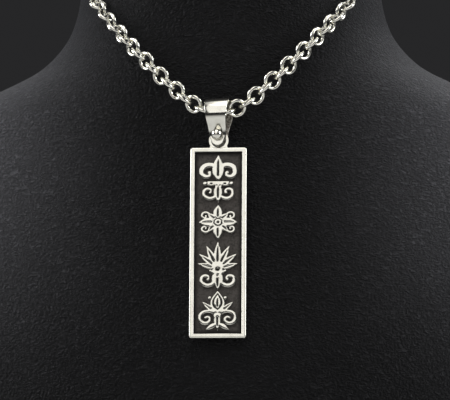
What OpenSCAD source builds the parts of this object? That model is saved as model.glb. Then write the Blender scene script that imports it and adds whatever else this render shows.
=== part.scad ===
// Nameplate necklace lying on a neck bust. Millimetres, +Z up, front towards -Y,
// origin on the floor under the middle of the bust.

/* [Neck bust] */
// Height of the bust at the middle of its neck
bust_h = 200; // [185:1:220]
// Width over the shoulders
shoulder_w = 184; // [168:1:204]
// Width of the neck
neck_w = 74; // [70:1:80]
// Depth from the neck's axis to the front of the chest
chest_d = 62; // [58:1:70]
// Depth from the neck's axis to the front of the throat
throat_d = 35; // [33:1:39]
// Depth from the neck's axis to the back
back_d = 52; // [46:1:60]
// Depth from the neck's axis to the nape
nape_d = 38; // [35:1:42]
// Drop of the neck's top from back to front, in degrees
top_slant = 12; // [0:1:20]

/* [Chain] */
// Outer diameter of a link
link_d = 4.75; // [4.65:0.05:4.85]
// Diameter of the link's wire
wire_d = 0.9; // [0.84:0.02:0.94]
// Play between two links where they hang in each other
link_play = 0.2; // [0.17:0.01:0.22]
// Gap between a link and the bust
rest_gap = 0.25; // [0.2:0.05:0.5]
// Height of the chain's lowest point, in the bail
hang_z = 108.9; // [105:0.5:112]
// How far the middle link lies from the middle of the bail
chain_shift = -1.1; // [-1.3:0.1:1.3]

/* [Clasp] */
// Length of the clasp between the middles of its two eyes
clasp_l = 13; // [10:0.5:18]
// Diameter of the clasp's barrel
clasp_d = 4.2; // [3.5:0.1:5]

/* [Bail] */
// Height of the bail from its tip to its top
bail_h = 11.6; // [11.2:0.1:13]
// Width of the bail over its top
bail_w = 6; // [5.2:0.1:6.4]
// Width of the bail at its rivet
bail_low_w = 3.8; // [3:0.1:4.2]
// Thickness of the bail's strip
bail_t = 0.7; // [0.6:0.05:0.75]
// Diameter of the opening that the chain runs through
bail_bore = 6.45; // [6.4:0.05:6.8]
// Gap between the two leaves at the rivet
leaf_gap = 1.8; // [1.7:0.05:2]
// Diameter of the rivet
rivet_d = 0.96; // [0.8:0.02:1.1]
// Diameter of the ball on the rivet
ball_d = 2.6; // [2:0.1:3]
// Turn of the bail about its upright axis, in degrees
bail_turn = 9; // [0:1:10]
// Height of the rivet above the tip of the bail
rivet_up = 2.4; // [2.3:0.05:3]

/* [Nameplate] */
// Height of the plate
plate_h = 45; // [38:0.5:50]
// Width of the plate
plate_w = 13.2; // [11.5:0.1:16]
// Thickness of the plate over its frame
plate_t = 2.2; // [1.8:0.1:2.8]
// Width of the raised frame
border = 1.05; // [0.8:0.05:1.6]
// Depth of the sunk field inside the frame
field_depth = 0.85; // [0.5:0.05:1.2]
// Radius of the plate's corners
corner_r = 0.5; // [0.2:0.1:1]
// Outer diameter of the ring on the plate
ring_d = 4.6; // [4.5:0.1:5]
// Thickness of the ring's wall
ring_wall = 0.55; // [0.45:0.05:0.6]
// Width of the ring's band, from front to back
ring_band = 0.85; // [0.6:0.05:0.9]
// Play between the ring and the rivet
ring_play = 0.2; // [0.15:0.05:0.3]
// How deep the ring is soldered into the plate's top
ring_sink = 0.5; // [0.44:0.02:0.56]

/* [Hidden] */

// Sections of the bust, from its base to its top. Widths and depths are shares of the
// sizes that they follow: those of the body and those of the neck.
HEIGHT = 0;
WIDTH_BODY = 1;
WIDTH_NECK = 2;
FRONT_BODY = 3;
FRONT_NECK = 4;
BACK_BODY = 5;
BACK_NECK = 6;
SQUARE = 7;
SLANT = 8;
bust_rows = [
    // height, width body/neck, front body/neck, back body/neck, squareness, slant
    [0.000, 0.70, 0.00, 0.94, 0.00, 0.87, 0.00, 2.40, 0.0],
    [0.010, 0.73, 0.00, 0.98, 0.00, 0.92, 0.00, 2.40, 0.0],
    [0.150, 0.83, 0.00, 1.00, 0.00, 0.98, 0.00, 2.40, 0.0],
    [0.290, 0.92, 0.00, 0.965, 0.00, 1.00, 0.00, 2.40, 0.0],
    [0.400, 0.985, 0.00, 0.872, 0.00, 0.99, 0.00, 2.40, 0.0],
    [0.470, 0.985, 0.00, 0.805, 0.00, 0.962, 0.00, 2.40, 0.0],
    [0.520, 0.915, 0.00, 0.737, 0.045, 0.90, 0.04, 2.40, 0.0],
    [0.555, 0.77, 0.11, 0.66, 0.145, 0.80, 0.145, 2.40, 0.0],
    [0.585, 0.54, 0.29, 0.55, 0.31, 0.64, 0.324, 2.38, 0.0],
    [0.615, 0.315, 0.53, 0.42, 0.505, 0.46, 0.53, 2.32, 0.0],
    [0.665, 0.122, 0.80, 0.25, 0.725, 0.26, 0.736, 2.22, 0.0],
    [0.740, 0.035, 0.95, 0.09, 0.91, 0.10, 0.889, 2.12, 0.1],
    [0.840, 0.00, 1.00, 0.00, 1.00, 0.00, 0.987, 2.05, 0.6],
    [0.940, 0.00, 1.008, 0.00, 1.008, 0.00, 1.00, 2.05, 1.0],
    [0.980, 0.00, 0.99, 0.00, 0.99, 0.00, 0.98, 2.05, 1.0],
    [0.995, 0.00, 0.93, 0.00, 0.93, 0.00, 0.92, 2.05, 1.0],
    [1.000, 0.00, 0.84, 0.00, 0.84, 0.00, 0.83, 2.05, 1.0]
];
last_row = len(bust_rows) - 1;
row_steps = 3;
bust_sides = 60;

// Slope of a column of the table at a row, from the rows beside it
function row_slope(row, column) =
    let (low = max(row - 1, 0), high = min(row + 1, last_row))
    (bust_rows[high][column] - bust_rows[low][column]) / (bust_rows[high][HEIGHT] - bust_rows[low][HEIGHT]);

function row_below(share, row = 0) =
    row >= last_row - 1 || share < bust_rows[row + 1][HEIGHT] ? row : row_below(share, row + 1);

// A column of the table at any height, on a smooth curve through its rows
function at_height(share, column) =
    let (
        row = row_below(share),
        low = bust_rows[row],
        high = bust_rows[row + 1],
        step = high[HEIGHT] - low[HEIGHT],
        t = (share - low[HEIGHT]) / step
    )
    (2 * t ^ 3 - 3 * t ^ 2 + 1) * low[column] + (3 * t ^ 2 - 2 * t ^ 3) * high[column]
    + (t ^ 3 - 2 * t ^ 2 + t) * step * row_slope(row, column)
    + (t ^ 3 - t ^ 2) * step * row_slope(row + 1, column);

function half_width(share) =
    at_height(share, WIDTH_BODY) * shoulder_w / 2 + at_height(share, WIDTH_NECK) * neck_w / 2;
function front_depth(share) =
    at_height(share, FRONT_BODY) * chest_d + at_height(share, FRONT_NECK) * throat_d;
function back_depth(share) =
    at_height(share, BACK_BODY) * back_d + at_height(share, BACK_NECK) * nape_d;

function signed_power(value, power) = sign(value) * abs(value) ^ power;

// One section: its height, half width, depths, curve power and slant
function section(share) = [
    share * bust_h,
    half_width(share),
    front_depth(share),
    back_depth(share),
    2 / at_height(share, SQUARE),
    at_height(share, SLANT) * tan(top_slant)
];

// A point of a section. Angle 0 is the middle of the front, 90 is the +X side
function section_point(s, angle) =
    let (
        x = s[1] * signed_power(sin(angle), s[4]),
        y = -(cos(angle) > 0 ? s[2] : s[3]) * signed_power(cos(angle), s[4])
    )
    [x, y, s[0] + y * s[5]];

function bust_point(angle, z) = section_point(section(z / bust_h), angle);

function unit(v) = v / norm(v);

// Direction that faces away from the bust at a point of its surface
function bust_normal(angle, z) =
    let (
        around = bust_point(angle + 1, z) - bust_point(angle - 1, z),
        up = bust_point(angle, z + 0.5) - bust_point(angle, z - 0.5)
    )
    unit(cross(around, up));

module neck_bust() {
    rings = [
        for (row = [0:last_row - 1], i = [0:row_steps - 1])
            let (low = bust_rows[row][HEIGHT], high = bust_rows[row + 1][HEIGHT])
            section(low + (high - low) * i / row_steps),
        section(1)
    ];
    points = [
        for (s = rings, i = [0:bust_sides - 1]) section_point(s, 360 * i / bust_sides)
    ];
    sides = [
        for (ring = [0:len(rings) - 2], i = [0:bust_sides - 1])
            let (
                next = (i + 1) % bust_sides,
                a = ring * bust_sides,
                b = a + bust_sides
            )
            each [[a + i, b + i, b + next], [a + i, b + next, a + next]]
    ];
    base = [[for (i = [0:bust_sides - 1]) i]];
    top = [[for (i = [bust_sides - 1:-1:0]) (len(rings) - 1) * bust_sides + i]];
    color([0.07, 0.07, 0.08]) polyhedron(points, concat(base, sides, top));
}

// Route of half the chain: from its lowest point in front, up to the side of the neck, and
// down the back to the clasp. Each point is an angle around the bust and a height
// above the chain's lowest point.
route = [
    [0, 0], [0.7, 0.4], [1.9, 1.3], [3.5, 3], [7, 6.6], [12.6, 10.5], [20.3, 14.7],
    [29.2, 19.3], [40.7, 25.2], [51.4, 31.1], [63, 37.6], [76.1, 43.5], [90, 47.8],
    [102, 47.2], [117, 41.7], [127.8, 35], [140.6, 24.3], [158.1, 11], [169.8, -2.3],
    [173.4, -17.2], [174.9, -27.6], [176, -35], [177.4, -40.8], [178.9, -43.4], [180, -44.1]
];
route_steps = 14;
// Extra distance from the bust beside the bail, and how far along it fades out
bail_lift = 1.9;
lift_reach = 9;

link_r = (link_d - wire_d) / 2;
pitch_wanted = link_d - 2 * wire_d - link_play;
// Lean of the links that lie on the bust, and of those that stand up between them
lean_lying = 37;
lean_standing = 110;
chain_lift = link_r * sin(lean_standing) + wire_d / 2 + rest_gap;

function mirrored(p) = [-p[0], p[1]];

// Point of the route, on a smooth curve through the chosen points
function route_at(i, t) =
    let (
        last = len(route) - 1,
        before = i == 0 ? mirrored(route[1]) : route[i - 1],
        after = i == last - 1 ? [360 - route[last - 1][0], route[last - 1][1]] : route[i + 2]
    )
    0.5 * (2 * route[i] + (route[i + 1] - before) * t
        + (2 * before - 5 * route[i] + 4 * route[i + 1] - after) * t ^ 2
        + (3 * route[i] - before - 3 * route[i + 1] + after) * t ^ 3);

half_route = [
    for (i = [0:len(route) - 2], j = [0:route_steps - 1]) route_at(i, j / route_steps),
    route[len(route) - 1]
];

function lift_at(angle, x) =
    chain_lift + (angle < 90 ? bail_lift * exp(-(x / lift_reach) ^ 2) : 0);

half_points = [
    for (p = half_route)
        let (z = hang_z + p[1], foot = bust_point(p[0], z))
        foot + bust_normal(p[0], z) * lift_at(p[0], foot[0])
];
half_normals = [for (p = half_route) bust_normal(p[0], hang_z + p[1])];

// Length along the half route at each of its points
half_lengths = [
    for (i = 0, s = 0; i < len(half_points);
        s = s + (i + 1 < len(half_points) ? norm(half_points[i + 1] - half_points[i]) : 0), i = i + 1) s
];
half_length = half_lengths[len(half_lengths) - 1];
function track(values, axis) = [for (i = [0:len(values) - 1]) [half_lengths[i], values[i][axis]]];
point_tracks = [for (axis = [0:2]) track(half_points, axis)];
normal_tracks = [for (axis = [0:2]) track(half_normals, axis)];

// Value of the three tracks at a length along the chain, which is negative on the -X side
function along(tracks, s) =
    let (
        wrapped = abs(s) > half_length ? s - sign(s) * 2 * half_length : s,
        v = [for (t = tracks) lookup(abs(wrapped), t)]
    )
    [wrapped < 0 ? -v[0] : v[0], v[1], v[2]];

// The links are counted from the one in the bail. The two eyes of the clasp are the
// next ones after the last link on each side
link_count = round((half_length - clasp_l / 2) / pitch_wanted) - 1;
pitch = (half_length - clasp_l / 2) / (link_count + 1);

// Frame of a link: along the chain, across it, and away from the bust
function link_frame(i) =
    let (
        s = chain_shift + i * pitch,
        here = along(point_tracks, s),
        ahead = unit(along(point_tracks, s + pitch / 2) - along(point_tracks, s - pitch / 2)),
        away = along(normal_tracks, s),
        across = unit(cross(away, ahead))
    )
    [here, ahead, across, cross(ahead, across)];

module place_link(i) {
    f = link_frame(i);
    multmatrix([
        [f[1][0], f[2][0], f[3][0], f[0][0]],
        [f[1][1], f[2][1], f[3][1], f[0][1]],
        [f[1][2], f[2][2], f[3][2], f[0][2]],
        [0, 0, 0, 1]
    ])
        rotate([i % 2 == 0 ? lean_lying : lean_standing, 0, 0]) children();
}

module link() {
    rotate_extrude($fn = 28) translate([link_r, 0]) circle(d = wire_d, $fn = 14);
}

module chain_left() {
    color([0.88, 0.88, 0.86]) for (i = [-link_count:-1]) place_link(i) link();
}

module chain_right() {
    color([0.86, 0.87, 0.88]) for (i = [0:link_count]) place_link(i) link();
}

// Barrel between two eyes. Its pin ends in the wire of the eyes, on their facing sides
module clasp() {
    left = link_frame(-link_count - 1);
    right = link_frame(link_count + 1);
    left_end = left[0] - link_r * left[1];
    right_end = right[0] + link_r * right[1];
    span = right_end - left_end;
    pin_l = norm(span);
    barrel_l = pin_l - 1.5 * wire_d;
    cap_r = clasp_d / 2;
    color([0.85, 0.86, 0.86]) union() {
        place_link(-link_count - 1) link();
        place_link(link_count + 1) link();
        translate((left_end + right_end) / 2)
            rotate([0, acos(span[2] / pin_l), atan2(span[1], span[0])]) {
                cylinder(d = clasp_d, h = barrel_l - clasp_d, center = true, $fn = 48);
                for (end = [-1, 1])
                    translate([0, 0, end * (barrel_l / 2 - cap_r)]) sphere(r = cap_r, $fn = 48);
                cylinder(d = wire_d * 0.9, h = pin_l, center = true, $fn = 24);
            }
    }
}

// The pendant hangs from the chain's lowest point. It leans so that the lower end of its
// back lies beside the chest
hang_point = along(point_tracks, 0);
bore_r = bail_bore / 2;
bail_r = bore_r + bail_t;
// The bail rests on the chain, so its bore's middle lies lower than the chain
bore_drop = 0.4;
bail_low = bail_r - bail_h;
rivet_z = bail_low + rivet_up;
ring_r = ring_d / 2;
ring_z = rivet_z + rivet_d / 2 + ring_play - (ring_r - ring_wall);
plate_top = ring_z - ring_r + ring_sink;
plate_low = plate_top - plate_h;

// Height above its lower edge at which the plate comes closest to the round chest
contact_up = 5;
// Lean of the pendant, found by repeating: the height of that place depends on the lean
function lean_for(lean, turns) =
    turns == 0 ? lean
    : let (
        drop = bore_drop - plate_low - contact_up,
        z = hang_point[2] - drop * cos(lean) - plate_t / 2 * sin(lean),
        y = -front_depth(z / bust_h) - rest_gap
    )
    lean_for(asin((hang_point[1] - y + plate_t / 2 * cos(lean)) / drop), turns - 1);
pendant_lean = lean_for(10, 6);

module on_pendant() {
    translate(hang_point) rotate([-pendant_lean, 0, 0]) translate([0, 0, -bore_drop]) children();
}

// Bore and space between the leaves, from the side: X is depth, Y is height
module bail_inside() {
    neck_fillet = 5;
    low_gap = leaf_gap - 0.3;
    offset(r = -neck_fillet, $fn = 120) offset(r = neck_fillet, $fn = 120) {
        circle(r = bore_r, $fn = 96);
        polygon([
            [-low_gap / 2, bail_low - 2 * bail_t],
            [low_gap / 2, bail_low - 2 * bail_t],
            [leaf_gap / 2 + 0.15, -bore_r * 0.6],
            [-leaf_gap / 2 - 0.15, -bore_r * 0.6]
        ]);
    }
}

module bail_strip() {
    difference() {
        offset(r = bail_t, $fn = 48) bail_inside();
        bail_inside();
        translate([-bail_h, bail_low - bail_h]) square([2 * bail_h, bail_h]);
    }
}

// Outline of the bail from the front: tapered, with a round tip
module bail_outline() {
    tip_r = bail_low_w * 0.4;
    offset(r = 0.01) hull() {
        translate([-bail_w / 2, bail_r - 0.01]) square([bail_w, 0.01]);
        translate([-bail_low_w / 2, rivet_z - 0.01]) square([bail_low_w, 0.01]);
        translate([0, bail_low + tip_r]) circle(r = tip_r, $fn = 48);
    }
}

module bail() {
    leaf_out = leaf_gap / 2 + bail_t;
    color([0.9, 0.9, 0.89]) on_pendant() rotate([0, 0, -bail_turn]) {
        intersection() {
            rotate([90, 0, 90]) linear_extrude(bail_w + 2, center = true) bail_strip();
            rotate([90, 0, 0]) linear_extrude(bail_h, center = true) bail_outline();
        }
        translate([0, leaf_out - bail_t / 3, rivet_z]) rotate([90, 0, 0])
            cylinder(d = rivet_d, h = 2 * leaf_out - bail_t / 3, $fn = 32);
        translate([0, -leaf_out - ball_d * 0.3, rivet_z]) sphere(d = ball_d, $fn = 48);
    }
}

// Flat stroke along a list of points, with a half width for each
module stroke(path, widths) {
    last = len(path) - 1;
    sides = [
        for (i = [0:last])
            let (d = unit(path[min(i + 1, last)] - path[max(i - 1, 0)]))
            [-d[1], d[0]] * widths[i]
    ];
    polygon(concat(
        [for (i = [0:last]) path[i] + sides[i]],
        [for (i = [last:-1:0]) path[i] - sides[i]]
    ));
}

// Spiral from one radius and angle to another
function curl_path(centre, from_r, to_r, from_a, to_a, steps = 26) = [
    for (i = [0:steps])
        let (t = i / steps, r = from_r + (to_r - from_r) * t, a = from_a + (to_a - from_a) * t)
        centre + r * [cos(a), sin(a)]
];

// Tendril: a spiral that swells in its middle and ends in a small ball
module curl(centre, from_r, to_r, from_a, to_a, thin, thick, ball) {
    path = curl_path(centre, from_r, to_r, from_a, to_a);
    last = len(path) - 1;
    stroke(path, [for (i = [0:last]) thin + (thick - thin) * sin(180 * (i / last) ^ 0.7)]);
    translate(path[last]) circle(r = ball, $fn = 16);
}

// Leaf with a pointed tip, growing up from the origin
module leaf(length, half_w) {
    steps = 14;
    polygon(concat(
        [for (i = [0:steps]) [half_w * sin(180 * (i / steps) ^ 0.85), length * i / steps]],
        [for (i = [steps - 1:-1:1]) [-half_w * sin(180 * (i / steps) ^ 0.85), length * i / steps]]
    ));
}

// Half the width of a vein at its root, in the units of the motifs
vein_w = 0.11;

// Engraved line along the middle of a leaf, between two shares of its length
module vein(length, from = 0.14, to = 0.78) {
    stroke(
        [for (i = [0:6]) [0, length * (from + (to - from) * i / 6)]],
        [for (i = [0:6]) vein_w * (1 - 0.5 * i / 6)]
    );
}

module both_sides() {
    children();
    mirror([1, 0]) children();
}

// The motifs are drawn ten units high, around their middle
module motif_lily() {
    difference() {
        union() {
            translate([0, -0.5]) leaf(5.5, 1.2);
            translate([0, -1.2]) rotate(180) leaf(3.8, 0.9);
            translate([-1.9, -1.25]) offset(r = 0.2, $fn = 12) square([3.8, 0.5]);
            both_sides() {
                curl([1.95, 1.25], 2.3, 0.3, 222, -190, 0.2, 0.52, 0.33);
                curl([1.75, -2.85], 1.85, 0.28, 122, 560, 0.16, 0.34, 0.27);
                translate([2.5, -1]) circle(r = 0.38, $fn = 18);
            }
        }
        translate([0, -0.5]) vein(5.5, 0.2, 0.8);
        translate([0, -1.4]) rotate(180) vein(3.8, 0.1, 0.7);
        for (x = [-1.3, 1.3]) translate([x, -1]) circle(r = 0.19, $fn = 12);
    }
}

module motif_rosette() {
    difference() {
        union() {
            for (turn = [0:90:270]) rotate(turn) translate([0, 0.9]) leaf(4.1, 1.3);
            for (turn = [45:90:315]) rotate(turn) translate([0, 0.8]) leaf(3.0, 0.8);
            circle(r = 1.35, $fn = 36);
            both_sides() {
                curl([3.45, 1.85], 1.45, 0.24, 236, -190, 0.14, 0.3, 0.24);
                mirror([0, 1]) curl([3.45, 1.85], 1.45, 0.24, 236, -190, 0.14, 0.3, 0.24);
            }
        }
        for (turn = [0:90:270]) rotate(turn) translate([0, 0.9]) vein(4.1, 0.18, 0.8);
        for (turn = [45:90:315]) rotate(turn) translate([0, 0.8]) vein(3.0, 0.26, 0.8);
        difference() {
            circle(r = 1.15, $fn = 36);
            circle(r = 0.95, $fn = 36);
        }
        circle(r = 0.3, $fn = 16);
    }
}

module motif_palmette() {
    // Turn, length and half width of each pair of leaves
    fan = [[24, 5.0, 0.68], [48, 4.4, 0.62], [73, 3.6, 0.55]];
    difference() {
        union() {
            translate([0, -0.25]) leaf(5.4, 0.78);
            translate([0, -0.6]) both_sides()
                for (f = fan) rotate(-f[0]) translate([0, 0.35]) leaf(f[1], f[2]);
            translate([0, -0.75]) circle(r = 1.05, $fn = 30);
            both_sides() {
                curl([2.1, -2.75], 1.95, 0.28, 106, 560, 0.16, 0.38, 0.28);
                translate([0.2, -1.3]) rotate(-158) leaf(2.4, 0.5);
            }
            translate([0, -2.1]) rotate(180) leaf(2.9, 0.75);
        }
        translate([0, -0.25]) vein(5.4, 0.22);
        translate([0, -0.6]) both_sides()
            for (f = fan) rotate(-f[0]) translate([0, 0.35]) vein(f[1], 0.26);
        translate([0, -2.3]) rotate(180) vein(2.9, 0.1, 0.7);
        translate([0, -0.75]) circle(r = 0.32, $fn = 16);
    }
}

module motif_bud() {
    difference() {
        union() {
            translate([0, -0.9]) leaf(5.7, 1.65);
            translate([0, -1.5]) circle(r = 0.9, $fn = 24);
            translate([0, -0.6]) rotate(180) leaf(4.4, 0.8);
            both_sides() {
                translate([0.3, -0.9]) rotate(-46) leaf(4.3, 0.6);
                curl([2.5, -2.1], 2.1, 0.28, 150, -300, 0.18, 0.42, 0.3);
                translate([0.15, -3.2]) rotate(-124) leaf(3.0, 0.52);
                translate([1.75, 3.1]) circle(r = 0.36, $fn = 18);
            }
        }
        difference() {
            translate([0, 0.05]) leaf(4.2, 1.12);
            translate([0, 0.35]) leaf(3.5, 0.86);
        }
        translate([0, 0.5]) vein(3.2, 0.12, 0.7);
        translate([0, -1.3]) rotate(180) vein(3.6, 0.1, 0.75);
        both_sides() translate([0.3, -0.9]) rotate(-46) vein(4.3, 0.4, 0.85);
    }
}

// The motifs are drawn a little wider than high
motif_spread = 1.1;
// Places of the motifs in the sunk field, as shares of its height from the top
MOTIF_MIDDLE = 0;
MOTIF_HEIGHT = 1;
motif_rows = [[0.151, 0.262], [0.392, 0.188], [0.633, 0.258], [0.874, 0.218]];

module motif(index) {
    if (index == 0) motif_lily();
    if (index == 1) motif_rosette();
    if (index == 2) motif_palmette();
    if (index == 3) motif_bud();
}

// All the relief in the field, as one flat figure. X is across, Y is up
module relief() {
    field_h = plate_h - 2 * border;
    offset(delta = 0.001) for (i = [0:len(motif_rows) - 1]) {
        size = motif_rows[i][MOTIF_HEIGHT] * field_h / 10;
        translate([0, plate_top - border - motif_rows[i][MOTIF_MIDDLE] * field_h])
            scale([size * motif_spread, size]) motif(i);
    }
}

module plate_outline(inset) {
    translate([-plate_w / 2 + inset, plate_low + inset])
        offset(r = corner_r, $fn = 32) offset(delta = -corner_r)
            square([plate_w - 2 * inset, plate_h - 2 * inset]);
}

// Ring with a small fillet on each side, where it meets the plate's top
module ring() {
    fillet = 0.5;
    foot_w = ring_d * 1.3;
    foot_h = 0.4;
    difference() {
        offset(r = -fillet, $fn = 32) offset(r = fillet, $fn = 32) {
            translate([0, ring_z]) circle(r = ring_r, $fn = 64);
            translate([-foot_w / 2, plate_top - foot_h]) square([foot_w, foot_h]);
        }
        translate([0, ring_z]) circle(r = ring_r - ring_wall, $fn = 64);
    }
}

module nameplate() {
    floor_t = plate_t - field_depth;
    color([0.8, 0.8, 0.78]) on_pendant() rotate([90, 0, 0]) {
        translate([0, 0, -plate_t / 2]) linear_extrude(floor_t) plate_outline(0);
        translate([0, 0, -plate_t / 2]) linear_extrude(plate_t) difference() {
            plate_outline(0);
            translate([-plate_w / 2 + border, plate_low + border])
                square([plate_w - 2 * border, plate_h - 2 * border]);
        }
        translate([0, 0, plate_t / 2 - field_depth - 0.1]) linear_extrude(field_depth + 0.05) relief();
        linear_extrude(ring_band, center = true) ring();
    }
}

neck_bust();
chain_left();
chain_right();
clasp();
bail();
nameplate();
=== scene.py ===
"""Looks of the nameplate necklace and its neck bust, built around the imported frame.

Every piece stands where its solid stands, in metres, +Z up, with the pendant towards -Y.
"""

import logging
import math
from dataclasses import dataclass
from enum import Enum
from typing import Any, Callable, Sequence

import bmesh
import bpy
import numpy as np
from mathutils import Matrix, Vector
from mathutils.kdtree import KDTree


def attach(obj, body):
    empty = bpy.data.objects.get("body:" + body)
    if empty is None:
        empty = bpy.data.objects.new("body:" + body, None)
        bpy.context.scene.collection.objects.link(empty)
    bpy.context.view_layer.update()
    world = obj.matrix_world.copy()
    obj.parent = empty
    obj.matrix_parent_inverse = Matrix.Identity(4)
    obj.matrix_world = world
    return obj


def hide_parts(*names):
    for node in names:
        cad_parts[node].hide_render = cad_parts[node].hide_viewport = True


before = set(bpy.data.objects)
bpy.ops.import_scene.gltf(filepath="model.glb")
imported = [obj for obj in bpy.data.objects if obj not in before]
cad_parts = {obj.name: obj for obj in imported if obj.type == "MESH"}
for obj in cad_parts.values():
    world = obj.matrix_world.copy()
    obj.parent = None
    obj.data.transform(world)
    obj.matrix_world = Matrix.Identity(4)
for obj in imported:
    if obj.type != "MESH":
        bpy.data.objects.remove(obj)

Colour = tuple[float, float, float]
Range = tuple[float, float]

MM = 0.001
JOIN = 0.002 * MM  # Vertices closer than this are one.
CLEAN_SILVER: Colour = (0.955, 0.94, 0.86)
WARM: Colour = (1.0, 0.985, 0.955)
COOL: Colour = (0.965, 0.98, 1.0)
log = logging.getLogger("necklace")


def pendant_frame(lean: float, middle: tuple[float, float, float]) -> Matrix:
    """The pendant's own frame: x across the plate, y into it, z up along it.

    Args:
        lean: how far the pendant leans back, in degrees.
        middle: the middle of the bail's bore, in millimetres.

    Returns:
        The matrix from the world to that frame, in metres.
    """
    turn = Matrix.Rotation(math.radians(lean), 4, "X")
    return turn @ Matrix.Translation(-Vector(middle) * MM)


PENDANT = pendant_frame(lean=11.5591, middle=(0.0, -50.7817, 109.2301))


# Materials


class Value:
    """What varies over a surface: an output socket that takes Python's operators."""

    def __init__(self, shader: "Shader", socket: bpy.types.NodeSocket) -> None:
        """Wraps one output socket of a shader's node."""
        self.shader = shader
        self.socket = socket

    def _math(self, operation: str, *others: Any) -> "Value":
        """Adds a Math node that works on this value and others."""
        inputs = dict(enumerate([self, *others]))
        return self.shader.node("ShaderNodeMath", {"operation": operation}, inputs)

    def __add__(self, other: Any) -> "Value":
        """Sum."""
        return self._math("ADD", other)

    __radd__ = __add__

    def __sub__(self, other: Any) -> "Value":
        """Difference."""
        return self._math("SUBTRACT", other)

    def __rsub__(self, other: Any) -> "Value":
        """Difference, with this value taken away."""
        return (self * -1.0) + other

    def __mul__(self, other: Any) -> "Value":
        """Product."""
        return self._math("MULTIPLY", other)

    __rmul__ = __mul__

    def __abs__(self) -> "Value":
        """Absolute value."""
        return self._math("ABSOLUTE")

    def least(self, other: Any) -> "Value":
        """The smaller of two values."""
        return self._math("MINIMUM", other)

    def ramp(self, low: float, high: float) -> "Value":
        """Smooth rise from 0 at low to 1 at high, or a fall where high is below low.

        Args:
            low: value at which the result is 0.
            high: value at which the result is 1.

        Returns:
            The risen value.
        """
        least, most = sorted((low, high))
        risen = self.shader.node(
            "ShaderNodeMapRange",
            {"interpolation_type": "SMOOTHSTEP"},
            {"Value": self, "From Min": least, "From Max": most},
        )
        return risen if low < high else 1.0 - risen


class Cell(Enum):
    """How the cells of a pattern meet."""

    PLAIN = "F1"
    SOFT = "SMOOTH_F1"


class Shader:
    """A node material under construction."""

    def __init__(self, name: str) -> None:
        """Makes an empty node material.

        Args:
            name: name of the material.
        """
        self.material = bpy.data.materials.new(name)
        self.material.use_nodes = True
        self.tree = self.material.node_tree
        self.tree.nodes.clear()

    def node(
        self,
        kind: str,
        settings: dict[str, Any] | None = None,
        inputs: dict[Any, Any] | None = None,
        output: int | str = 0,
    ) -> Value:
        """Adds any node.

        Args:
            kind: the node's type.
            settings: the node's own properties, set before its sockets.
            inputs: values, or Values to link, by socket name, identifier or number.
            output: name, identifier or number of the output to hand back.

        Returns:
            The output, wrapped.
        """
        made = self.tree.nodes.new(kind)
        for name, value in (settings or {}).items():
            setattr(made, name, value)
        taken = {s.identifier: s for s in made.inputs}
        for name, value in (inputs or {}).items():
            socket = taken[name] if name in taken else made.inputs[name]
            if isinstance(value, Value):
                self.tree.links.new(value.socket, socket)
            else:
                socket.default_value = value
        given = {s.identifier: s for s in made.outputs}
        return Value(self, given[output] if output in given else made.outputs[output])

    def place(self) -> Value:
        """Object coordinates, in metres."""
        return self.node("ShaderNodeTexCoord", output="Object")

    def mapped(self, point: Value, **inputs: Any) -> Value:
        """A point moved, turned and scaled by the inputs of a Mapping node."""
        inputs = {"Vector": point, **inputs}
        return self.node("ShaderNodeMapping", {"vector_type": "POINT"}, inputs)

    def axes(self, point: Value) -> tuple[Value, Value, Value]:
        """Takes a point apart.

        Args:
            point: the point.

        Returns:
            Its three coordinates.
        """
        split = self.node("ShaderNodeSeparateXYZ", inputs={0: point})
        outputs = split.socket.node.outputs
        return Value(self, outputs[0]), Value(self, outputs[1]), Value(self, outputs[2])

    def noise(
        self, point: Value, size: float, detail: float, rough: float, twist: float = 0.0
    ) -> Value:
        """Cloudy pattern from 0 to 1.

        Args:
            point: where the pattern is read.
            size: size of its clouds, in metres.
            detail: number of finer layers.
            rough: strength of the finer layers.
            twist: how far its clouds are drawn out into curved strokes.

        Returns:
            The pattern.
        """
        inputs = {
            "Vector": point,
            "Scale": 1.0 / size,
            "Detail": detail,
            "Roughness": rough,
            "Distortion": twist,
        }
        return self.node("ShaderNodeTexNoise", {"normalize": True}, inputs)

    def cells(self, point: Value, size: float, cell: Cell) -> Value:
        """Cell pattern: the distance from the middle of each cell.

        Args:
            point: where the pattern is read.
            size: size of a cell, in metres.
            cell: how the cells meet.

        Returns:
            The pattern.
        """
        inputs = {"Vector": point, "Scale": 1.0 / size}
        return self.node("ShaderNodeTexVoronoi", {"feature": cell.value}, inputs, "Distance")

    def blend(self, share: Any, first: Colour | Value, second: Colour | Value) -> Value:
        """Colour between two colours.

        Args:
            share: 0 for the first colour, 1 for the second.
            first: first colour.
            second: second colour.

        Returns:
            The mixed colour.
        """
        inputs: dict[Any, Any] = {"Factor_Float": share}
        for name, colour in (("A_Color", first), ("B_Color", second)):
            inputs[name] = colour if isinstance(colour, Value) else (*colour, 1.0)
        return self.node("ShaderNodeMix", {"data_type": "RGBA"}, inputs, "Result_Color")

    def bump(self, height: Value, depth: float, strength: float) -> Value:
        """Normal that follows a height.

        Args:
            height: the height, in units of depth.
            depth: real depth of one unit, in metres.
            strength: share of the effect.

        Returns:
            The normal.
        """
        inputs = {"Height": height, "Distance": depth, "Strength": strength}
        return self.node("ShaderNodeBump", inputs=inputs)

    def finish(self, **sockets: Any) -> bpy.types.Material:
        """Adds the surface and the output.

        Args:
            sockets: the surface's sockets by name, with underscores for spaces.

        Returns:
            The finished material.
        """
        inputs = {name.replace("_", " "): value for name, value in sockets.items()}
        surface = self.node("ShaderNodeBsdfPrincipled", inputs=inputs)
        output = self.tree.nodes.new("ShaderNodeOutputMaterial")
        self.tree.links.new(surface.socket, output.inputs["Surface"])
        return self.material


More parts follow.
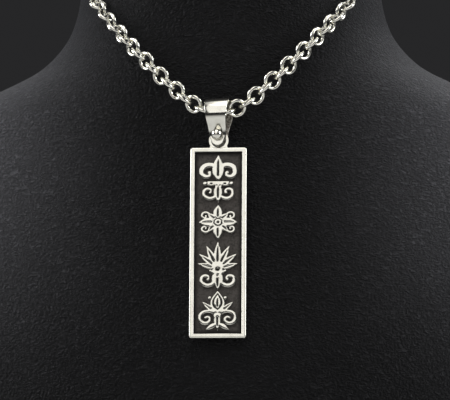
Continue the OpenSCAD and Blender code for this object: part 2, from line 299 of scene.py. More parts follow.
@dataclass(frozen=True)
class Leatherette:
    """Black pebbled leatherette of the bust.

    Attributes:
        colour: colour of the covering.
        lit_and_worn_colour: grey of the painted light on the shoulders and sides, and of rubbed
            patches and ridges.
        pebble: size of a pebble of the grain, in metres.
        small_pebble: size of the small pebbles, as a share of that.
        wrinkle: size of the fine creases between the pebbles, in metres.
        grain: how many creases fit that size across, in depth and up: fewer draws them out.
        ridge: how far from its middle value the creases' pattern lies on a whole ridge.
        cloud: size of the uneven patches, in metres.
        depth: depth of the grain, in metres.
        heights: heights of the pebbles, the small pebbles and the ridges, in that depth.
        shoulder_light_across: distance from the middle over which the painted light on the
            shoulders grows, in metres.
        shoulder_light_up: height over which the painted light on the shoulders grows, in metres.
        light_and_patches: the even share of the painted light on the shoulders, its share along
            the patches, and the rubbed patches everywhere else.
        on_ridges: share of the painted light and wear in the creases, what the ridges add, and the
            ridges everywhere else.
        roughness: roughness of the covering, and what patches and pebbles add.
        gloss: specular level.
    """

    colour: Colour = (0.0024, 0.0024, 0.0027)
    lit_and_worn_colour: Colour = (0.13, 0.13, 0.142)
    pebble: float = 0.62 * MM
    small_pebble: float = 0.55
    wrinkle: float = 0.9 * MM
    grain: tuple[float, float, float] = (0.5, 1.0, 1.15)
    ridge: float = 0.62
    cloud: float = 34 * MM
    depth: float = 0.5 * MM
    heights: tuple[float, float, float] = (0.8, 0.2, 0.7)
    shoulder_light_across: Range = (14 * MM, 80 * MM)
    shoulder_light_up: Range = (34 * MM, 112 * MM)
    light_and_patches: tuple[float, float, float] = (0.7, 0.5, 0.06)
    on_ridges: tuple[float, float, float] = (0.65, 0.75, 0.07)
    roughness: tuple[float, float, float] = (0.46, 0.1, 0.12)
    gloss: float = 0.1

    def material(self) -> bpy.types.Material:
        """Builds the covering's material.

        Returns:
            The material.
        """
        shader = Shader("leatherette")
        at = shader.place()
        across, _, up = shader.axes(at)
        pebbles = shader.cells(at, self.pebble, Cell.SOFT)
        small = shader.cells(at, self.pebble * self.small_pebble, Cell.PLAIN)
        clouds = shader.noise(at, self.cloud, detail=3.0, rough=0.55)

        # A crease runs where the drawn-out noise crosses its middle value.
        drawn = shader.mapped(at, Scale=self.grain)
        strokes = shader.noise(drawn, self.wrinkle, detail=1.5, rough=0.5, twist=0.9)
        ridges = abs(strokes * 2.0 - 1.0).ramp(0.0, self.ridge)
        pebbled, finer, ridged = self.heights
        height = (1.0 - pebbles) * pebbled + (1.0 - small) * finer + ridges * ridged

        # Painted light: the covering turns grey towards the shoulders and sides, standing in for
        # the light that falls there; the clouds also add rubbed patches all over.
        painted_shoulder_light = abs(across).ramp(*self.shoulder_light_across) * up.ramp(*self.shoulder_light_up)
        even, patchy, elsewhere = self.light_and_patches
        painted_light_and_wear = painted_shoulder_light * (even + clouds * patchy) + clouds * elsewhere
        low, added, everywhere = self.on_ridges
        grey = painted_light_and_wear * (low + ridges * added) + ridges * everywhere
        base, by_clouds, by_pebbles = self.roughness
        return shader.finish(
            Base_Color=shader.blend(grey, self.colour, self.lit_and_worn_colour),
            Roughness=base + clouds * by_clouds + pebbles * by_pebbles,
            Specular_IOR_Level=self.gloss,
            Normal=shader.bump(height, self.depth, strength=1.0),
        )


class Polish(Enum):
    """How far a silver surface was polished: its roughness."""

    MIRROR = 0.07
    BRIGHT = 0.13


@dataclass(frozen=True)
class Silver:
    """Solid silver with faint polishing marks.

    Attributes:
        name: name of the material.
        polish: how far it was polished.
        colour: colour of the clean metal.
        shade: colour where a film of tarnish has begun.
        film: size of the patches of that film, in metres.
        film_range: values of its pattern at which the film begins and is whole.
        mark: size of the polishing marks, in metres.
        depth: depth of the polishing marks, in metres.
        dulling: roughness that the film and the marks add.
    """

    name: str
    polish: Polish = Polish.BRIGHT
    colour: Colour = CLEAN_SILVER
    shade: Colour = (0.9, 0.87, 0.79)
    film: float = 2.4 * MM
    film_range: Range = (0.45, 0.8)
    mark: float = 0.7 * MM
    depth: float = 0.006 * MM
    dulling: tuple[float, float] = (0.05, 0.04)

    def material(self) -> bpy.types.Material:
        """Builds the metal's material.

        Returns:
            The material.
        """
        shader = Shader(self.name)
        at = shader.place()
        film = shader.noise(at, self.film, detail=3.0, rough=0.6)
        marks = shader.noise(at, self.mark, detail=3.0, rough=0.55)
        by_film, by_marks = self.dulling
        return shader.finish(
            Base_Color=shader.blend(film.ramp(*self.film_range), self.colour, self.shade),
            Metallic=1.0,
            Roughness=self.polish.value + film * by_film + marks * by_marks,
            Normal=shader.bump(marks, self.depth, strength=0.5),
        )


@dataclass(frozen=True)
class AgedSilver:
    """Silver of the pendant: bright where it is rubbed, blackened where a cloth doesn't reach.

    Attributes:
        name: name of the material.
        bright: colour of the clean metal.
        veiled: colour of the clean metal under a first thin film.
        veil: share of that colour where the thin film is whole.
        veil_range: values of the clouds at which the thin film begins and is whole.
        black: colour of the blackened metal; it also paints shade by the plate's frame and
            reflection in the bail.
        brown: colour where the black film is thinner.
        brown_range: values of the spots' pattern at which the brown begins and is whole.
        spotty: share of the spots in that pattern; the thin film's patches have the rest.
        polish: roughness of the clean metal.
        mottle: size of the black film's spots, in metres.
        cloud: size of the thin film's patches, in metres.
        mark: size of the polishing marks, in metres.
        heights: heights of the spots and of the marks, in millimetres.
        dulling: roughness that the marks, the black film and its spots add.
        unmetal: share of the metal's look that the black film takes away.
        gloss: specular level of the black film.
    """

    name: str
    bright: Colour = CLEAN_SILVER
    veiled: Colour = (0.86, 0.84, 0.76)
    veil: float = 0.8
    veil_range: Range = (0.42, 0.72)
    black: Colour = (0.014, 0.012, 0.011)
    brown: Colour = (0.125, 0.113, 0.104)
    brown_range: Range = (0.2, 0.66)
    spotty: float = 0.75
    polish: Polish = Polish.BRIGHT
    mottle: float = 0.42 * MM
    cloud: float = 2.2 * MM
    mark: float = 0.6 * MM
    heights: tuple[float, float] = (0.06, 0.003)
    dulling: tuple[float, float, float] = (0.06, 0.36, 0.2)
    unmetal: float = 0.95
    gloss: float = 0.22

    def material(
        self, dark: Callable[[Shader, Value], tuple[Value, Any]]
    ) -> bpy.types.Material:
        """Builds the metal's material.

        Args:
            dark: gives, from the point in the pendant's frame, how far the metal is blackened,
            and how far the black may turn brown, which painted shade beside the plate's frame
            holds back.

        Returns:
            The material.
        """
        shader = Shader(self.name)
        turn = PENDANT.to_euler("XYZ")
        at = shader.mapped(shader.place(), Location=PENDANT.translation, Rotation=turn)
        share, painted_light_and_wear = dark(shader, at)
        mottle = shader.noise(at, self.mottle, detail=4.0, rough=0.68)
        clouds = shader.noise(at, self.cloud, detail=2.0, rough=0.5)
        marks = shader.noise(at, self.mark, detail=3.0, rough=0.55)
        pattern = mottle * self.spotty + clouds * (1.0 - self.spotty)
        # Where the second share is low the film stays black: painted shade beside the plate's
        # frame.
        film = shader.blend(pattern.ramp(*self.brown_range) * painted_light_and_wear, self.black, self.brown)
        clean = shader.blend(clouds.ramp(*self.veil_range) * self.veil, self.bright, self.veiled)
        spots, scratches = self.heights
        by_marks, by_film, by_spots = self.dulling
        return shader.finish(
            Base_Color=shader.blend(share, clean, film),
            Metallic=1.0 - share * self.unmetal,
            Specular_IOR_Level=self.gloss,
            Roughness=self.polish.value + marks * by_marks + share * (by_film + mottle * by_spots),
            Normal=shader.bump(mottle * share * spots + marks * scratches, MM, strength=0.5),
        )


# Mesh work


def placed(name: str, data: bpy.types.ID) -> bpy.types.Object:
    """Makes an object and links it to the scene.

    Args:
        name: the object's name.
        data: its mesh, light or camera.

    Returns:
        The new object.
    """
    made = bpy.data.objects.new(name, data)
    bpy.context.scene.collection.objects.link(made)
    return made


def merged_copy(node: str, even: float) -> bmesh.types.BMesh:
    """Copies a node's mesh, joins its loose triangles and merges faces that lie even.

    Args:
        node: the node that is copied.
        even: faces become one where they turn by less than this, in degrees.

    Returns:
        The joined mesh.
    """
    copy = bmesh.new()
    copy.from_mesh(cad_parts[node].data)
    bmesh.ops.remove_doubles(copy, verts=copy.verts, dist=JOIN)
    bmesh.ops.dissolve_limit(
        copy, angle_limit=math.radians(even), verts=copy.verts, edges=copy.edges
    )
    return copy


def as_object(form: bmesh.types.BMesh, name: str) -> bpy.types.Object:
    """Turns a form into an object at the origin.

    Args:
        form: the form, which is used up.
        name: name of the piece.

    Returns:
        The new object.
    """
    mesh = bpy.data.meshes.new(name)
    form.to_mesh(mesh)
    form.free()
    if "custom_normal" in mesh.attributes:
        mesh.attributes.remove(mesh.attributes["custom_normal"])
    mesh.materials.clear()
    return placed(name, mesh)


def settled(piece: bpy.types.Object) -> None:
    """Turns a piece's modifiers into plain mesh.

    Args:
        piece: the object with its modifiers.
    """
    evaluated = piece.evaluated_get(bpy.context.evaluated_depsgraph_get())
    mesh = bpy.data.meshes.new_from_object(evaluated)
    mesh.name = piece.name
    piece.modifiers.clear()
    piece.data = mesh


def smoothed(piece: bpy.types.Object, angle: float) -> None:
    """Shades a piece smooth, apart from edges sharper than an angle in degrees."""
    piece.data.shade_smooth()
    piece.data.set_sharp_from_angle(angle=math.radians(angle))


def evenly_shaded(piece: bpy.types.Object, angle: float) -> None:
    """Shades a piece smooth, with its large faces kept flat.

    Args:
        piece: the object.
        angle: edges sharper than this stay sharp, in degrees.
    """
    smoothed(piece, angle)
    even = piece.modifiers.new("even_shading", "WEIGHTED_NORMAL")
    even.mode = "FACE_AREA"
    even.weight = 80
    even.keep_sharp = True
    settled(piece)


def turned_out(mesh: bpy.types.Mesh) -> None:
    """Makes a closed mesh's faces point outwards.

    Args:
        mesh: the mesh.
    """
    form = bmesh.new()
    form.from_mesh(mesh)
    bmesh.ops.recalc_face_normals(form, faces=form.faces)
    form.to_mesh(mesh)
    form.free()


def softened(
    form: bmesh.types.BMesh,
    chosen: Callable[[bmesh.types.BMEdge], bool],
    width: float,
    rows: int,
    sharp: float = 28,
) -> None:
    """Rounds the sharp edges of a form that a test chooses.

    Args:
        form: the form.
        chosen: says whether an edge is rounded.
        width: width of the rounding to each side, in metres.
        rows: rows of faces in it.
        sharp: an edge is sharp where its faces turn by more than this, in degrees.
    """
    least = math.radians(sharp)
    edges = [
        e for e in form.edges if e.is_manifold and e.calc_face_angle(0.0) > least and chosen(e)
    ]
    bmesh.ops.bevel(
        form, geom=edges, offset=width, offset_type="OFFSET", segments=rows, profile=0.5,
        affect="EDGES", clamp_overlap=False, material=-1,
    )


def joined(triangles: np.ndarray, count: int) -> np.ndarray:
    """Labels the points that triangles join.

    Args:
        triangles: the three points of each triangle.
        count: number of points.

    Returns:
        A label for each point, the same for all points of one solid.
    """
    label = np.arange(count)
    while True:
        lowest = label[triangles].min(1)
        new = label.copy()
        for corner in range(3):
            np.minimum.at(new, triangles[:, corner], lowest)
        new = new[new]
        if np.array_equal(new, label):
            return label
        label = new


def dressed(
    piece: bpy.types.Object, material: bpy.types.Material, body: str, node: str
) -> bpy.types.Object:
    """Gives a piece its material and body, in place of its node, which is hidden.

    Args:
        piece: the finished object.
        material: its material.
        body: the body that it rides on.
        node: the node that it stands for.

    Returns:
        The same object.
    """
    piece.data.materials.clear()
    piece.data.materials.append(material)
    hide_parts(node)
    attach(piece, body)
    log.info("%s: %d faces, rides on %s", piece.name, len(piece.data.polygons), body)
    return piece


# Pieces


@dataclass
class NeckBust:
    """The neck bust: one smooth covered form on a flat base.

    Attributes:
        levels: subdivision of the form.
        rim: height under which an edge belongs to the base, in metres.
        shading: edges sharper than this are shaded sharp, in degrees.
        finish: its covering.
    """

    levels: int = 2
    rim: float = 0.01 * MM
    shading: float = 50
    finish: Leatherette = Leatherette()

    def build(self) -> bpy.types.Object:
        """Builds and dresses the bust.

        Returns:
            The bust's object.
        """
        form = merged_copy("neck_bust", even=0.2)
        any_angle = 3.1  # In radians: no two triangles are too unlike to be joined.
        bmesh.ops.join_triangles(
            form, faces=[f for f in form.faces if len(f.verts) == 3],
            angle_face_threshold=any_angle, angle_shape_threshold=any_angle,
        )
        crease = form.edges.layers.float.new("crease_edge")
        for edge in form.edges:
            if all(v.co.z < self.rim for v in edge.verts):
                edge[crease] = 1.0
        piece = as_object(form, "bust_form")
        rounding = piece.modifiers.new("rounding", "SUBSURF")
        rounding.levels = rounding.render_levels = self.levels
        settled(piece)
        smoothed(piece, self.shading)
        return dressed(piece, self.finish.material(), "display", "neck_bust")


class Side(Enum):
    """A side of the chain, as the nodes' names have it."""

    LEFT = "left"
    RIGHT = "right"


@dataclass
class Chain:
    """One side of the rolo chain: the same round link at each link's place.

    Attributes:
        side: which side it is.
        ring_radius: radius of a link to the middle of its wire, in metres.
        wire_radius: radius of the wire, in metres.
        around: segments around a link.
        across: segments around the wire.
        finish: its metal.
    """

    side: Side
    ring_radius: float = 1.925 * MM
    wire_radius: float = 0.45 * MM
    around: int = 26
    across: int = 10
    finish: Silver = Silver("silver_chain", mark=0.9 * MM, depth=0.002 * MM)

    def places(self) -> tuple[np.ndarray, np.ndarray]:
        """Reads where each link lies.

        Returns:
            The links' middles, and the directions of their axes.
        """
        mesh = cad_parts[f"chain_{self.side.value}"].data
        points = np.zeros(len(mesh.vertices) * 3)
        mesh.vertices.foreach_get("co", points)
        points = points.reshape(-1, 3)
        corners = np.zeros(len(mesh.loops), int)
        mesh.loops.foreach_get("vertex_index", corners)
        rounded = np.round(points / JOIN).astype(int)
        _, same = np.unique(rounded, axis=0, return_inverse=True)
        same = same.ravel()
        label = joined(same[corners].reshape(-1, 3), same.max() + 1)[same]
        middles, axes = [], []
        for link in np.unique(label):
            own = points[label == link]
            middles.append((own.min(0) + own.max(0)) / 2)
            # A ring is thinnest along its axis.
            axes.append(np.linalg.eigh(np.cov((own - own.mean(0)).T))[1][:, 0])
        return np.array(middles), np.array(axes)

    def tree(self) -> bpy.types.NodeTree:
        """Builds the tree that sets a link at each place.

        Returns:
            The tree, with the link's sizes and its metal as inputs.
        """
        tree = bpy.data.node_groups.new(f"links_{self.side.value}", "GeometryNodeTree")
        sockets = {
            "Geometry": "Geometry", "Ring Radius": "Float", "Wire Radius": "Float",
            "Around": "Int", "Across": "Int", "Material": "Material",
        }
        for name, kind in sockets.items():
            tree.interface.new_socket(name, in_out="INPUT", socket_type=f"NodeSocket{kind}")
        tree.interface.new_socket("Geometry", in_out="OUTPUT", socket_type="NodeSocketGeometry")

        def add(kind: str, **links: bpy.types.NodeSocket) -> bpy.types.NodeSocket | None:
            """Adds a node.

            Args:
                kind: the node's type.
                links: what its inputs are linked to, by name, with underscores for spaces.

            Returns:
                Its first output, if it has one.
            """
            node = tree.nodes.new(kind)
            for name, source in links.items():
                tree.links.new(source, node.inputs[name.replace("_", " ")])
            return node.outputs[0] if node.outputs else None

        given = tree.nodes.new("NodeGroupInput").outputs
        circle = "GeometryNodeCurvePrimitiveCircle"
        ring = add(circle, Radius=given["Ring Radius"], Resolution=given["Around"])
        wire = add(circle, Radius=given["Wire Radius"], Resolution=given["Across"])
        link = add("GeometryNodeCurveToMesh", Curve=ring, Profile_Curve=wire)
        axis = tree.nodes.new("GeometryNodeInputNamedAttribute")
        axis.data_type = "FLOAT_VECTOR"
        axis.inputs["Name"].default_value = "link_axis"
        turn = tree.nodes.new("FunctionNodeAlignRotationToVector")
        turn.axis = "Z"
        tree.links.new(axis.outputs["Attribute"], turn.inputs["Vector"])
        links = add(
            "GeometryNodeInstanceOnPoints",
            Points=given["Geometry"], Instance=link, Rotation=turn.outputs[0],
        )
        real = add("GeometryNodeRealizeInstances", Geometry=links)
        metal = add("GeometryNodeSetMaterial", Geometry=real, Material=given["Material"])
        add("NodeGroupOutput", Geometry=metal)
        return tree

    def build(self, material: bpy.types.Material) -> bpy.types.Object:
        """Builds and dresses this side of the chain.

        Args:
            material: the chain's metal.

        Returns:
            The chain's object.
        """
        side = self.side.value
        middles, axes = self.places()
        seeds = bpy.data.meshes.new(f"link_places_{side}")
        seeds.from_pydata([tuple(m) for m in middles], [], [])
        directions = seeds.attributes.new("link_axis", "FLOAT_VECTOR", "POINT")
        directions.data.foreach_set("vector", axes.ravel())
        piece = placed(f"chain_links_{side}", seeds)
        modifier = piece.modifiers.new("links", "NODES")
        modifier.node_group = self.tree()
        wanted = {
            "Ring Radius": self.ring_radius, "Wire Radius": self.wire_radius,
            "Around": self.around, "Across": self.across, "Material": material,
        }
        for socket in modifier.node_group.interface.items_tree:
            if socket.in_out == "INPUT" and socket.name in wanted:
                modifier[socket.identifier] = wanted[socket.name]
        settled(piece)
        turned_out(piece.data)
        piece.data.shade_smooth()
        return dressed(piece, material, "display", f"chain_{side}")


@dataclass
class Clasp:
    """The barrel clasp behind the neck.

    Attributes:
        shading: edges sharper than this are shaded sharp, in degrees.
        finish: its metal.
    """

    shading: float = 40
    finish: Silver = Silver("silver_clasp", Polish.MIRROR)

    def build(self) -> bpy.types.Object:
        """Builds and dresses the clasp.

        Returns:
            The clasp's object.
        """
        piece = as_object(merged_copy("clasp", even=0.1), "barrel_clasp")
        smoothed(piece, self.shading)
        return dressed(piece, self.finish.material(), "display", "clasp")


@dataclass
class Bail:
    """The folded bail with its two leaves and the riveted ball.

    Attributes:
        rivet: height of the rivet's middle in the pendant's frame, in metres.
        clear: distance from the rivet within which no edge is rounded, in metres.
        edge: width of the rounding along the strip's edges, in metres.
        edge_rows: rows of faces in that rounding.
        shading: edges sharper than this are shaded sharp, in degrees.
        inward: a face is an inner one where it faces the middle plane by more than this.
        dapple: size of the spots of the film and painted reflection on the inner faces, in metres.
        dapple_range: values of the spots' pattern at which a spot begins and is whole.
        film: least share of the film and painted reflection on the inner faces, and what the spots
            add.
        finish: its metal.
    """

    rivet: float = -5.275 * MM
    clear: float = 1.45 * MM
    edge: float = 0.12 * MM
    edge_rows: int = 3
    shading: float = 50
    inward: float = 0.25
    dapple: float = 0.55 * MM
    dapple_range: Range = (0.62, 0.42)
    film: tuple[float, float] = (0.35, 0.6)
    finish: AgedSilver = AgedSilver("silver_bail", brown=(0.2, 0.16, 0.13), polish=Polish.MIRROR)

    def along_strip(self, edge: bmesh.types.BMEdge) -> bool:
        """Whether an edge bounds the strip, away from the rivet."""
        at = PENDANT @ ((edge.verts[0].co + edge.verts[1].co) / 2)
        return math.hypot(at.x, at.z - self.rivet) > self.clear

    def mark_inside(self, mesh: bpy.types.Mesh) -> None:
        """Marks the inner faces, which a cloth doesn't reach, in the attribute "inside".

        Args:
            mesh: the bail's mesh.
        """
        # The marked faces get a dark dappled film: tarnish, and a painted reflection of what they
        # mirror.
        turn = PENDANT.to_3x3()
        marks = np.zeros(len(mesh.loops))
        for face in mesh.polygons:
            at, facing = PENDANT @ face.center, turn @ face.normal
            if -facing.y * at.y > self.inward * abs(at.y):
                marks[list(face.loop_indices)] = 1.0
        mesh.attributes.new("inside", "FLOAT", "CORNER").data.foreach_set("value", marks)

    def dark(self, shader: Shader, at: Value) -> tuple[Value, float]:
        """Where the bail is blackened.

        Args:
            shader: the material under construction.
            at: the point in the pendant's frame.

        Returns:
            The blackened share, dappled on the inner faces as tarnish and painted reflection, and
            the share that may turn brown, 1 everywhere.
        """
        mark = shader.node("ShaderNodeAttribute", {"attribute_name": "inside"}, output="Fac")
        dapple = shader.noise(at, self.dapple, detail=3.0, rough=0.6)
        least, added = self.film
        # Painted reflection: the dark dappled film on the inner faces also stands for the
        # surroundings that they mirror.
        return mark * (least + dapple.ramp(*self.dapple_range) * added), 1.0

    def build(self) -> bpy.types.Object:
        """Builds and dresses the bail.

        Returns:
            The bail's object.
        """
        form = merged_copy("bail", even=0.1)
        softened(form, self.along_strip, self.edge, self.edge_rows)
        piece = as_object(form, "bail_with_rivet")
        evenly_shaded(piece, self.shading)
        self.mark_inside(piece.data)
        metal = self.finish.material(self.dark)
        return dressed(piece, metal, "bail_body", "bail")


class Line(Enum):
    """How a cutting line runs on the plate: the axis that it crosses."""

    UPRIGHT = 0
    LEVEL = 2


@dataclass
class Nameplate:
    """The upright plate with its frame, raised ornament and hanging ring.

    Attributes:
        height: height of the plate, in metres.
        width: width of the plate, in metres.
        thick: thickness of the plate over its frame, in metres.
        border: width of its frame, in metres.
        corner: radius of its corners, in metres.
        top: height of the plate's upper edge in the pendant's frame, in metres.
        outer_edge: rounding of the frame's outer edges in front, in metres.
        back_edge: rounding of its outer edges behind, in metres.
        inner_edge: rounding of the frame's inner edges, in metres.
        near: how close an edge lies to where it is looked for, in metres.
        shading: edges sharper than this are shaded sharp, in degrees.
        dome_reach: how far in from its outline the ornament's top is rounded, in metres.
        dome_drop: how far its outline lies below its middle, in metres.
        grid: distance of the lines that its top is cut along, in metres.
        grid_start: place of the first level line, as a share of that distance.
        outline_step: distance of the marks that stand for the outline, in metres.
        film_depth: depths under the face at which the film begins and is whole, in metres.
        film_back: depth behind the plate's middle at which the film has ended, in metres.
        film_edge: softness of the film's edge at the frame, in metres.
        uneven: size of the waves in the film's upper edge, in metres.
        uneven_height: height of these waves, in metres.
        painted_wall_shade_reach: distance from the frame's inner walls over which the painted
            shade there gives way to brown, in metres.
        finish: its metal.
    """

    height: float = 45 * MM
    width: float = 13.2 * MM
    thick: float = 2.2 * MM
    border: float = 1.05 * MM
    corner: float = 0.5 * MM
    top: float = -8.145 * MM
    outer_edge: float = 0.34 * MM
    back_edge: float = 0.238 * MM
    inner_edge: float = 0.13 * MM
    near: float = 0.03 * MM
    shading: float = 50
    dome_reach: float = 0.5 * MM
    dome_drop: float = 0.095 * MM
    grid: float = 0.19 * MM
    grid_start: float = 0.37
    outline_step: float = 0.02 * MM
    film_depth: Range = (0.12 * MM, 0.42 * MM)
    film_back: float = 0.3 * MM
    film_edge: float = 0.06 * MM
    uneven: float = 0.9 * MM
    uneven_height: float = 0.14 * MM
    painted_wall_shade_reach: float = 1.3 * MM
    finish: AgedSilver = AgedSilver("silver_plate")

    def inset(self, at: Vector) -> float:
        """How far a point lies inside the plate's outline.

        Args:
            at: the point, in the pendant's frame.

        Returns:
            The distance, in metres.
        """
        across = abs(at.x) - (self.width / 2 - self.corner)
        along = abs(at.z - self.top + self.height / 2) - (self.height / 2 - self.corner)
        if across > 0 and along > 0:
            return self.corner - math.hypot(across, along)
        return self.corner - max(across, along)

    def edges_at(self, inset: float, depth: float) -> Callable[[bmesh.types.BMEdge], bool]:
        """A test for the edges at one inset and depth.

        Args:
            inset: distance inside the plate's outline, in metres.
            depth: depth in the pendant's frame, in metres.

        Returns:
            The test.
        """

        def near(at: Vector) -> bool:
            """Whether a point lies at that inset and depth."""
            return abs(self.inset(at) - inset) < self.near and abs(at.y - depth) < self.near

        def chosen(edge: bmesh.types.BMEdge) -> bool:
            """Whether both ends of an edge lie there."""
            return all(near(PENDANT @ v.co) for v in edge.verts)

        return chosen

    def on_top(self, face: bmesh.types.BMFace) -> bool:
        """Whether a face lies on the ornament's top: level with the plate's face, off its frame.

        Args:
            face: the face.

        Returns:
            True where all its corners lie there.
        """
        level, clear = 0.08 * MM, 0.05 * MM
        spots = [PENDANT @ v.co for v in face.verts]
        return all(
            abs(at.y + self.thick / 2) < level and self.inset(at) > self.border + clear
            for at in spots
        )

    def cut(
        self, form: bmesh.types.BMesh, tops: dict[bmesh.types.BMFace, None], line: Line, at: float
    ) -> None:
        """Cuts the ornament's top faces along a line.

        Args:
            form: the form.
            tops: the top faces as keys, in order, to which the parts of the cut ones are added.
            line: how the line runs.
            at: its place in the pendant's frame, in metres.
        """
        axis = line.value
        parts: dict[Any, None] = {}
        for face in tops:
            spots = [(PENDANT @ v.co)[axis] for v in face.verts]
            if min(spots) < at < max(spots):
                parts.update(dict.fromkeys([face, *face.edges, *face.verts]))
        if not parts:
            return
        back = PENDANT.inverted()
        way = Vector((0.0, 0.0, 0.0))
        way[axis] = 1.0
        result = bmesh.ops.bisect_plane(
            form, geom=list(parts), dist=1e-7, plane_co=back @ (way * at),
            plane_no=back.to_3x3() @ way,
        )
        faces = (item for item in result["geom"] if isinstance(item, bmesh.types.BMFace))
        tops.update(dict.fromkeys(faces))

    def dome(self, form: bmesh.types.BMesh) -> None:
        """Rounds the ornament's flat top off towards its outline.

        Args:
            form: the form.
        """
        tops = dict.fromkeys(face for face in form.faces if self.on_top(face))
        rim = [e for e in form.edges if sum(f in tops for f in e.link_faces) == 1]
        marks = []
        for edge in rim:
            first, last = (v.co.copy() for v in edge.verts)
            count = max(1, round((last - first).length / self.outline_step))
            marks.extend(first.lerp(last, (i + 0.5) / count) for i in range(count))
        outline = KDTree(len(marks))
        for index, mark in enumerate(marks):
            outline.insert(mark, index)
        outline.balance()
        half = self.width / 2 - self.border
        for i in range(1, round(2 * half / self.grid)):
            self.cut(form, tops, Line.UPRIGHT, -half + i * self.grid)
        for i in range(round(self.height / self.grid)):
            self.cut(form, tops, Line.LEVEL, self.top - (i + self.grid_start) * self.grid)
        inward = PENDANT.inverted().to_3x3() @ Vector((0.0, 1.0, 0.0))
        for vert in {v for face in tops for v in face.verts}:
            reach = min(outline.find(vert.co)[2] / self.dome_reach, 1.0)
            vert.co += inward * self.dome_drop * (1.0 - reach) ** 2
        log.info("ornament: %d faces on its rounded top", len(tops))

    def recess(self, shader: Shader, at: Value) -> tuple[Value, Value]:
        """Where the plate is blackened.

        Args:
            shader: the material under construction.
            at: the point in the pendant's frame.

        Returns:
            The blackened share, 1 on the field and less on the walls and the relief's sides,
            and the worn share, 0 in the corners beside the frame.
        """
        across, depth, up = shader.axes(at)
        soft = self.film_edge
        waves = shader.noise(at, self.uneven, detail=3.0, rough=0.6)
        face = -self.thick / 2
        start, whole = (face + level for level in self.film_depth)
        deep = (depth + (waves - 0.5) * self.uneven_height).ramp(start, whole)
        from_side, from_end = abs(across), abs(up - (self.top - self.height / 2))
        half_wide, half_high = self.width / 2 - self.border, self.height / 2 - self.border
        inside = from_side.ramp(half_wide + 3 * soft, half_wide + soft)
        inside = inside * from_end.ramp(half_high + 3 * soft, half_high + soft)
        wall = (half_wide - from_side).least(half_high - from_end)
        blackened = deep * inside * depth.ramp(self.film_back, 0.0)
        # Painted shade: the film stays black close to the frame's inner walls.
        return blackened, wall.ramp(0.0, self.painted_wall_shade_reach)

    def build(self) -> bpy.types.Object:
        """Builds and dresses the nameplate.

        Returns:
            The nameplate's object.
        """
        form = merged_copy("nameplate", even=0.1)
        self.dome(form)
        face = self.thick / 2
        softened(form, self.edges_at(0.0, -face), self.outer_edge, rows=4)
        softened(form, self.edges_at(0.0, face), self.back_edge, rows=3)
        softened(form, self.edges_at(self.border, -face), self.inner_edge, rows=3)
        piece = as_object(form, "nameplate_with_ring")
        evenly_shaded(piece, self.shading)
        metal = self.finish.material(self.recess)
        return dressed(piece, metal, "plate_body", "nameplate")


# Studio


@dataclass
class Softbox:
    """A soft studio light.

    Attributes:
        name: name of the light.
        azimuth: where it stands around the object, in degrees, 0 in front.
        elevation: its height over the pendant, in degrees.
        away: its distance from the pendant, in metres.
        wide: its width, in metres.
        high: its height, in metres.
        watts: its power.
        colour: its colour.
        spread: the angle that the grid before it lets its light leave in, in degrees.
    """

    name: str
    azimuth: float
    elevation: float
    away: float
    wide: float
    high: float
    watts: float
    colour: Colour = WARM
    spread: float = 180.0

    def build(self, aim: Vector) -> bpy.types.Object:
        """Builds the light.

        Args:
            aim: the point that it shines at.

        Returns:
            The light's object.
        """
        data = bpy.data.lights.new(self.name, "AREA")
        data.shape = "RECTANGLE"
        data.size, data.size_y = self.wide, self.high
        data.energy = self.watts
        data.color = self.colour
        data.spread = math.radians(self.spread)
        light = placed(self.name, data)
        turn, rise = math.radians(self.azimuth), math.radians(self.elevation)
        level = math.cos(rise)
        way = Vector((math.sin(turn) * level, -math.cos(turn) * level, math.sin(rise)))
        light.location = aim + way * self.away
        light.rotation_euler = way.to_track_quat("Z", "Y").to_euler()
        return light


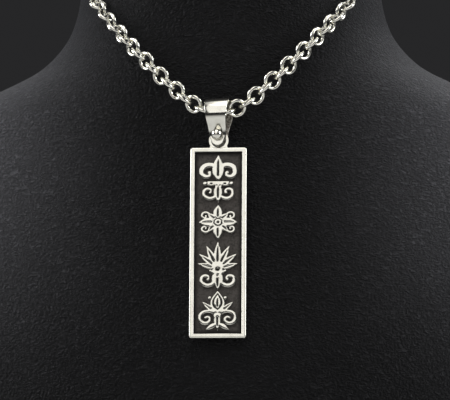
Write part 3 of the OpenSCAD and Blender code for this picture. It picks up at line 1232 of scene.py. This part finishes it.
@dataclass
class Studio:
    """The pale floor, the lights and the camera of the picture.

    Attributes:
        aim: the point in the middle of the picture, in metres.
        azimuth: where the camera stands around the object, in degrees, 0 in front.
        away: its distance from that point, in metres.
        focal: its focal length, in millimetres.
        sensor: width of its sensor, in millimetres.
        clip: nearest and farthest distance that it sees, in metres.
        roll: how far it is turned about its own axis, in degrees.
        world: colour of the surroundings.
        floor_half: half the floor's width, in metres.
        floor_tones: darkest and palest tone of the floor.
        fibre: size of the floor paper's fibres, in metres.
        lights: the soft lights.
    """

    aim: tuple[float, float, float] = (1.343 * MM, -52 * MM, 89.103 * MM)
    azimuth: float = 3.7
    away: float = 480 * MM
    focal: float = 163.35
    sensor: float = 36.0
    clip: Range = (0.01, 20.0)
    roll: float = -0.438
    world: Colour = (0.02, 0.02, 0.021)
    floor_half: float = 3.0
    floor_tones: tuple[Colour, Colour] = ((0.6, 0.6, 0.595), (0.64, 0.64, 0.635))
    fibre: float = 1.5 * MM
    lights: Sequence[Softbox] = (
        Softbox("key", azimuth=-10, elevation=45, away=0.75, wide=0.7, high=0.96, watts=1.95),
        Softbox(
            "left_side", azimuth=-88, elevation=24, away=0.7, wide=0.7, high=0.6, watts=0.82,
            colour=COOL, spread=50,
        ),
        Softbox(
            "right_side", azimuth=86, elevation=24, away=0.7, wide=0.7, high=0.6, watts=0.76,
            colour=COOL, spread=50,
        ),
        Softbox(
            "back", azimuth=166, elevation=42, away=0.9, wide=1.5, high=0.6, watts=1.3,
            colour=COOL, spread=90,
        ),
        Softbox(
            "top", azimuth=0, elevation=86, away=0.75, wide=0.8, high=0.8, watts=0.4, spread=60
        ),
    )

    def floor(self) -> bpy.types.Object:
        """Builds the large pale floor that the bust stands on.

        Returns:
            The floor's object.
        """
        half = self.floor_half
        mesh = bpy.data.meshes.new("studio_floor")
        corners = ((-half, -half, 0.0), (half, -half, 0.0), (half, half, 0.0), (-half, half, 0.0))
        mesh.from_pydata(corners, [], [(0, 1, 2, 3)])
        shader = Shader("floor_paper")
        fibres = shader.noise(shader.place(), self.fibre, detail=3.0, rough=0.6)
        tone = shader.blend(fibres, *self.floor_tones)
        mesh.materials.append(shader.finish(Base_Color=tone, Roughness=0.85))
        return placed("studio_floor", mesh)

    def camera(self) -> bpy.types.Object:
        """Builds the camera in the picture's viewpoint.

        Returns:
            The camera's object.
        """
        data = bpy.data.cameras.new("camera")
        data.sensor_width = self.sensor
        data.lens = self.focal
        data.dof.use_dof = False
        data.clip_start, data.clip_end = self.clip
        camera = placed("camera", data)
        turn, tilt = math.radians(self.azimuth), math.radians(self.roll)
        back = Vector((math.sin(turn), -math.cos(turn), 0.0))
        right = Vector((math.cos(turn), math.sin(turn), 0.0))
        up = back.cross(right)
        right, up = (
            right * math.cos(tilt) + up * math.sin(tilt),
            up * math.cos(tilt) - right * math.sin(tilt),
        )
        turned = Matrix((right, up, back)).transposed().to_4x4()
        turned.translation = Vector(self.aim) + back * self.away
        camera.matrix_world = turned
        bpy.context.scene.camera = camera
        return camera

    def build(self) -> None:
        """Builds the whole studio."""
        world = bpy.data.worlds.new("studio")
        world.use_nodes = True
        backdrop = world.node_tree.nodes["Background"]
        backdrop.inputs["Color"].default_value = (*self.world, 1.0)
        bpy.context.scene.world = world
        bpy.context.scene.view_settings.view_transform = "Standard"
        aim = Vector(self.aim)
        lights = [light.build(aim) for light in self.lights]
        self.floor()
        self.camera()
        log.info("studio: %d lights, camera %.0f mm away", len(lights), self.away / MM)


def main() -> None:
    """Builds every piece in order, then the studio."""
    logging.basicConfig(level=logging.INFO, format="%(name)s: %(message)s")
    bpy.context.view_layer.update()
    NeckBust().build()
    left, right = Chain(Side.LEFT), Chain(Side.RIGHT)
    metal = left.finish.material()
    for side in (left, right):
        side.build(metal)
    Clasp().build()
    Bail().build()
    Nameplate().build()
    Studio().build()


if __name__ == "__main__":
    main()
